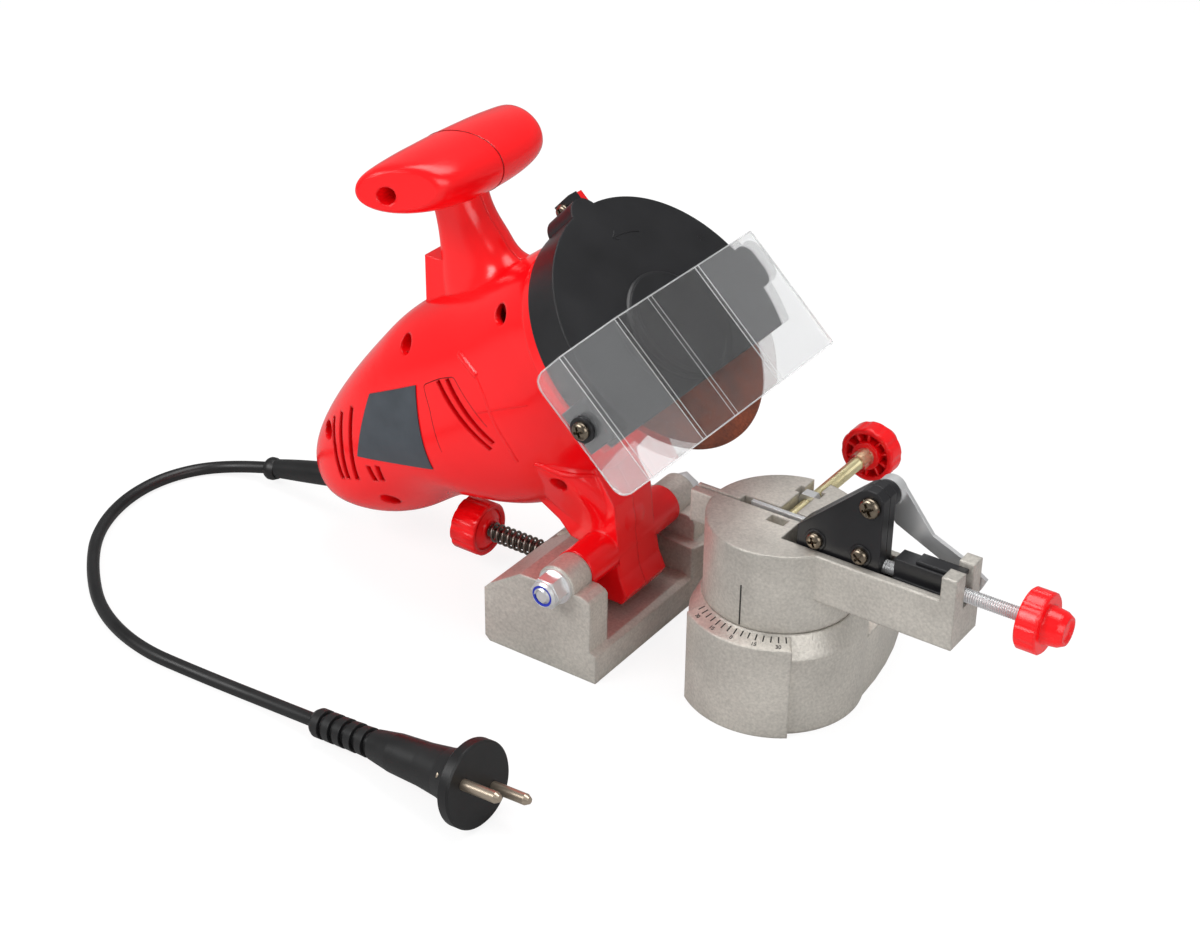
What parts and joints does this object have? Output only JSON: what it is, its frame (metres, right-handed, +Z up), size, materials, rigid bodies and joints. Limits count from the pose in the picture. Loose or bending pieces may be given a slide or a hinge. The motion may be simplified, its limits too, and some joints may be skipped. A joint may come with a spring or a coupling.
{
  "type": "chainsaw sharpener",
  "caption": "Bench-top electric sharpener for saw chains: tilting motor head with T-handle, grinding wheel, guard and clear shield over a swivelling chain vise with clamp and stop.",
  "frame": {"origin": "on the bench face of the base casting, straight below the head's hinge bolt", "axes": "+X from the hinge towards the vise arm, +Y along the hinge bolt, away from its lock nut, +Z up"},
  "size_m": [0.4692, 0.2602, 0.2156],
  "materials": {
    "cast_alloy": "as-cast, satin",
    "bright_steel": "zinc plated",
    "blue_nylon": "satin",
    "spring_steel": "oiled",
    "red_plastic": "glossy",
    "yellow_zinc": "yellow passivated",
    "clear_plastic": "clear",
    "black_plastic": "satin",
    "bronze_steel": "dark plated",
    "laminated_steel": "oiled",
    "copper": "machined",
    "carbon": "matt",
    "abrasive": "open grain",
    "grey_badge": "satin",
    "rubber_black": "matt"
  },
  "bodies": {
    "base": {"base_casting": "cast_alloy", "hinge_bolt": "bright_steel", "hinge_washers": "bright_steel", "hinge_nut": "bright_steel", "hinge_nut_ring": "blue_nylon", "cord": "rubber_black", "plug_body": "rubber_black", "plug_pins": "bright_steel"},
    "head": {"housing_left": "red_plastic", "housing_right": "red_plastic", "housing_screws": "bright_steel", "stator": "laminated_steel", "front_bearing": "bright_steel", "rear_bearing": "bright_steel", "brush_holders": "copper", "brushes": "carbon", "guard": "black_plastic", "guard_screws": "bronze_steel", "shield": "clear_plastic", "shield_screw": "bronze_steel", "shield_washers": "black_plastic", "switch_body": "black_plastic", "badge": "grey_badge", "strain_relief": "rubber_black"},
    "rotor": {"armature": "laminated_steel", "commutator": "copper", "fan": "black_plastic", "wheel_flange_back": "laminated_steel", "grinding_wheel": "abrasive", "wheel_flange_front": "laminated_steel", "wheel_nut": "bright_steel"},
    "rocker": {"switch_rocker": "black_plastic"},
    "depth_rod": {"depth_screw": "spring_steel", "depth_spring": "spring_steel"},
    "depth_grip": {"depth_knob": "red_plastic"},
    "vise": {"vise_casting": "cast_alloy", "swivel_stud": "bright_steel", "swivel_washer": "bright_steel", "clamp_nut": "bright_steel", "nut_block": "black_plastic", "nut_block_cover": "black_plastic"},
    "vise_lock": {"swivel_knob": "red_plastic"},
    "clamp_rod": {"clamp_screw": "yellow_zinc", "clamp_sleeve": "clear_plastic"},
    "clamp_grip": {"clamp_knob": "red_plastic"},
    "jaw": {"jaw_plate": "bright_steel"},
    "stop_carriage": {"bracket_front": "black_plastic", "bracket_back": "black_plastic", "bracket_screws": "bronze_steel", "pivot_screw": "bronze_steel", "pivot_bush": "black_plastic", "pivot_clip": "bright_steel", "adjust_screw": "bright_steel"},
    "adjust_grip": {"adjust_knob": "red_plastic"},
    "lever": {"stop_lever": "bright_steel"}
  },
  "joints": [
    {"name": "head_swing", "type": "hinge", "parent": "base", "child": "head", "pos_m": [0, 0, 0.0435], "axis": [0, 1, 0], "range_deg": [0, 21]},
    {"name": "wheel_spin", "type": "hinge", "parent": "head", "child": "rotor", "pos_m": [0.0201, 0, 0.1497], "axis": [0.682, 0, 0.7314], "continuous": true},
    {"name": "switch_rock", "type": "hinge", "parent": "head", "child": "rocker", "pos_m": [-0.093, 0, 0.145], "axis": [0, 1, 0], "range_deg": [-14, 0]},
    {"name": "depth_slide", "type": "slide", "parent": "base", "child": "depth_rod", "axis": [1, 0, 0], "range_m": [-0.005, 0.005], "deforming": ["depth_spring"]},
    {"name": "depth_turn", "type": "hinge", "parent": "depth_rod", "child": "depth_grip", "pos_m": [-0.0727, 0, 0.0205], "axis": [1, 0, 0], "range_deg": [-1800, 1800]},
    {"name": "vise_swivel", "type": "hinge", "parent": "base", "child": "vise", "pos_m": [0.0825, 0, 0], "axis": [0, 0, 1], "range_deg": [-35, 35]},
    {"name": "vise_lock_turn", "type": "hinge", "parent": "vise", "child": "vise_lock", "pos_m": [0.0825, 0, 0], "axis": [0, 0, 1], "range_deg": [0, 270]},
    {"name": "clamp_slide", "type": "slide", "parent": "vise", "child": "clamp_rod", "axis": [0, 1, 0], "range_m": [-0.0013, 0.0009]},
    {"name": "clamp_turn", "type": "hinge", "parent": "clamp_rod", "child": "clamp_grip", "pos_m": [0.0819, 0.07, 0.0788], "axis": [0, 1, 0], "range_deg": [-468, 324]},
    {"name": "jaw_slide", "type": "slide", "parent": "vise", "child": "jaw", "axis": [0, 1, 0], "range_m": [-0.0013, 0.0009]},
    {"name": "stop_slide", "type": "slide", "parent": "vise", "child": "stop_carriage", "axis": [1, 0, 0], "range_m": [-0.0045, 0.0053]},
    {"name": "adjust_turn", "type": "hinge", "parent": "stop_carriage", "child": "adjust_grip", "pos_m": [0.1972, -0.0087, 0.0835], "axis": [1, 0, 0], "range_deg": [-1620, 1908]},
    {"name": "lever_fold", "type": "hinge", "parent": "stop_carriage", "child": "lever", "pos_m": [0.1293, 0, 0.112], "axis": [0, -1, 0], "range_deg": [-38, 0]}
  ],
  "couplings": [
    {"joint": "depth_turn", "follows": "depth_slide", "rad_per_m": 6283.2},
    {"joint": "clamp_turn", "follows": "clamp_slide", "rad_per_m": 6283.2},
    {"joint": "jaw_slide", "follows": "clamp_slide", "ratio": 1},
    {"joint": "adjust_turn", "follows": "stop_slide", "rad_per_m": 6283.2}
  ]
}
